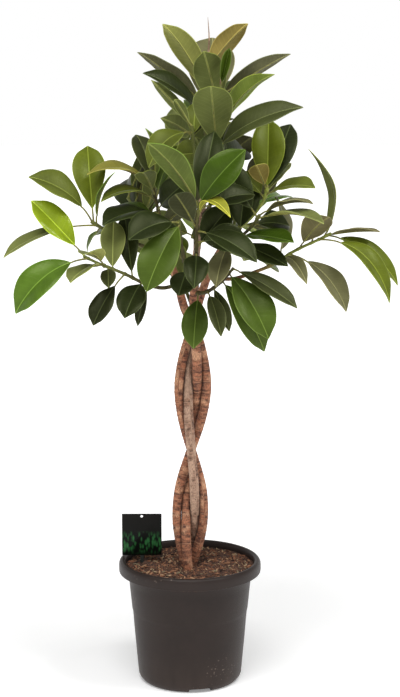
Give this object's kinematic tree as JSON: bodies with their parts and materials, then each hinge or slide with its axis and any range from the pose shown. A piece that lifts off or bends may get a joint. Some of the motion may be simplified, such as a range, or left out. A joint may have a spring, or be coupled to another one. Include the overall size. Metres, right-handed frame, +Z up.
{
  "type": "potted rubber plant",
  "caption": "Rubber plant trained as a standard, with a braided trunk and a crown of broad glossy leaves, in a round black-brown nursery pot with bark soil and a plant label.",
  "frame": {"origin": "middle of the pot's flat underside", "axes": "+Z up along the trunk, -Y towards the side that the picture shows"},
  "size_m": [0.635, 0.4882, 1.11],
  "materials": {
    "pot": "matte, moulded",
    "soil": "rough bark chips and peat",
    "label": "printed plastic card, left plain",
    "bark": "rough, with ring scars",
    "leaves": "glossy above, dull below"
  },
  "bodies": {
    "root": {"pot": "pot", "soil": "soil", "plant_label": "label", "stem_front": "bark", "stem_right": "bark", "stem_left": "bark", "stem_back": "bark", "shoot_top_back": "leaves", "shoot_top_front": "leaves", "shoot_left_upper": "leaves", "shoot_right_upper": "leaves", "shoot_right_mid": "leaves", "shoot_right_outer": "leaves", "shoot_front_centre": "leaves", "shoot_front_low": "leaves", "shoot_left_mid": "leaves", "shoot_left_outer": "leaves", "shoot_left_lower": "leaves", "shoot_right_low": "leaves", "shoot_rear_1": "leaves", "shoot_rear_2": "leaves", "shoot_rear_3": "leaves", "shoot_rear_4": "leaves", "shoot_rear_5": "leaves", "shoot_rear_6": "leaves", "shoot_rear_7": "leaves", "shoot_rear_8": "leaves"}
  },
  "joints": []
}
